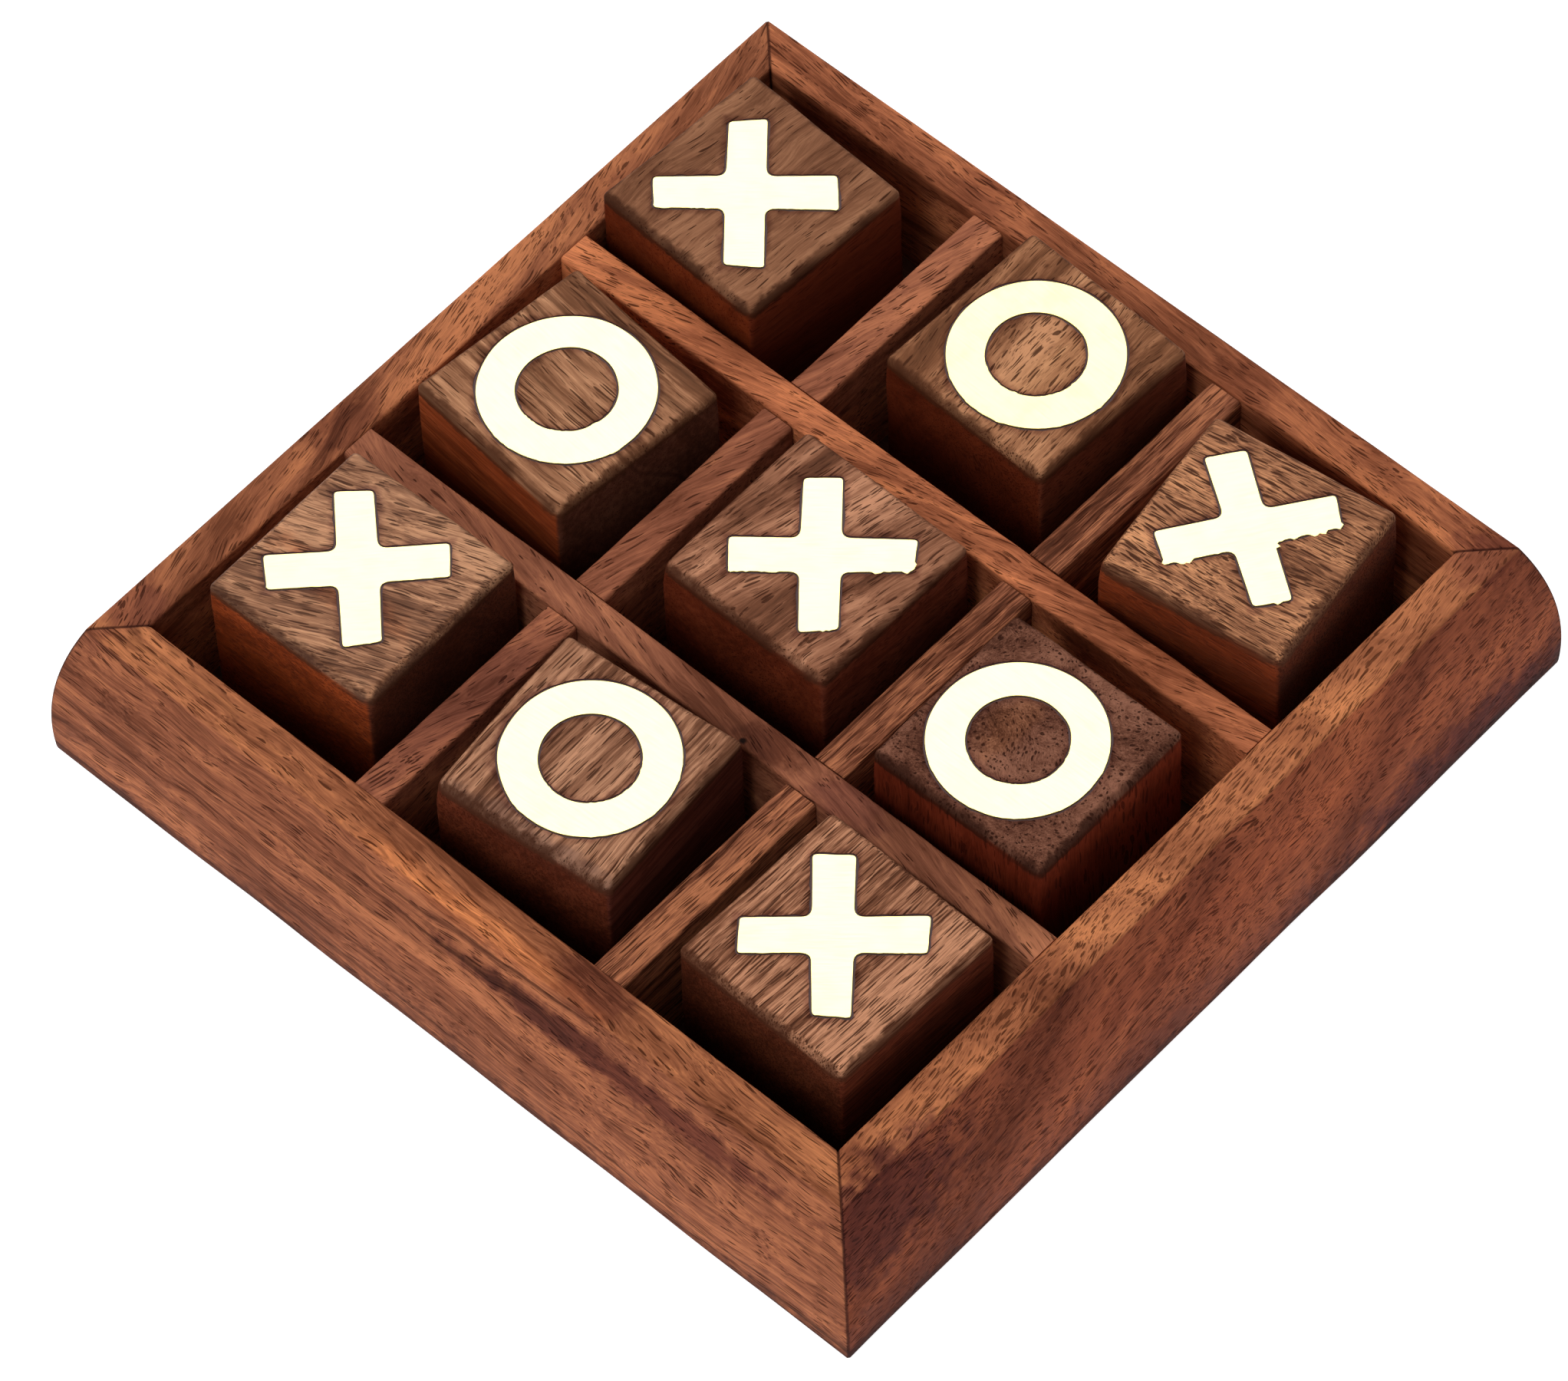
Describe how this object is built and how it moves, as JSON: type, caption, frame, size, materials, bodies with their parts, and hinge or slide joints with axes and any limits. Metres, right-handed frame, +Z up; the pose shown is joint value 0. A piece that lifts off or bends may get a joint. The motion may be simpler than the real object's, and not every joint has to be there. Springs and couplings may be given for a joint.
{
  "type": "tic tac toe set",
  "caption": "Square wooden tic tac toe tray with swelled mitred rails and halved dividers, holding loose wooden blocks with flush brass crosses and rings.",
  "frame": {"origin": "middle of the tray's underside, on the table", "axes": "+Z up out of the cells, +X along the long dividers towards the right rail, +Y along the cross dividers towards the back rail"},
  "size_m": [0.127, 0.127, 0.0314],
  "materials": {
    "rail_wood": "waxed open-grained rosewood",
    "divider_wood": "waxed open-grained rosewood",
    "block_wood": "waxed rosewood with rubbed edges",
    "base_plywood": "plain plywood",
    "inlay_brass": "filed flush and lightly polished",
    "pin_steel": "bright steel"
  },
  "bodies": {
    "tray": {"front_rail": "rail_wood", "right_rail": "rail_wood", "back_rail": "rail_wood", "left_rail": "rail_wood", "long_divider_front": "divider_wood", "long_divider_back": "divider_wood", "cross_divider_left": "divider_wood", "cross_divider_right": "divider_wood", "base_panel": "base_plywood", "base_pins": "pin_steel"},
    "cross_block_1": {"cross_block_1": "block_wood", "cross_inlay_1": "inlay_brass"},
    "cross_block_2": {"cross_block_2": "block_wood", "cross_inlay_2": "inlay_brass"},
    "cross_block_3": {"cross_block_3": "block_wood", "cross_inlay_3": "inlay_brass"},
    "cross_block_4": {"cross_block_4": "block_wood", "cross_inlay_4": "inlay_brass"},
    "cross_block_5": {"cross_block_5": "block_wood", "cross_inlay_5": "inlay_brass"},
    "ring_block_1": {"ring_block_1": "block_wood", "ring_inlay_1": "inlay_brass"},
    "ring_block_2": {"ring_block_2": "block_wood", "ring_inlay_2": "inlay_brass"},
    "ring_block_3": {"ring_block_3": "block_wood", "ring_inlay_3": "inlay_brass"},
    "ring_block_4": {"ring_block_4": "block_wood", "ring_inlay_4": "inlay_brass"}
  },
  "joints": [
    {"name": "cross_block_1_lift", "type": "slide", "parent": "tray", "child": "cross_block_1", "axis": [0, 0, 1], "range_m": [0, 0.04]},
    {"name": "cross_block_2_lift", "type": "slide", "parent": "tray", "child": "cross_block_2", "axis": [0, 0, 1], "range_m": [0, 0.04]},
    {"name": "cross_block_3_lift", "type": "slide", "parent": "tray", "child": "cross_block_3", "axis": [0, 0, 1], "range_m": [0, 0.04]},
    {"name": "cross_block_4_lift", "type": "slide", "parent": "tray", "child": "cross_block_4", "axis": [0, 0, 1], "range_m": [0, 0.04]},
    {"name": "cross_block_5_lift", "type": "slide", "parent": "tray", "child": "cross_block_5", "axis": [0, 0, 1], "range_m": [0, 0.04]},
    {"name": "ring_block_1_lift", "type": "slide", "parent": "tray", "child": "ring_block_1", "axis": [0, 0, 1], "range_m": [0, 0.04]},
    {"name": "ring_block_2_lift", "type": "slide", "parent": "tray", "child": "ring_block_2", "axis": [0, 0, 1], "range_m": [0, 0.04]},
    {"name": "ring_block_3_lift", "type": "slide", "parent": "tray", "child": "ring_block_3", "axis": [0, 0, 1], "range_m": [0, 0.04]},
    {"name": "ring_block_4_lift", "type": "slide", "parent": "tray", "child": "ring_block_4", "axis": [0, 0, 1], "range_m": [0, 0.04]}
  ]
}
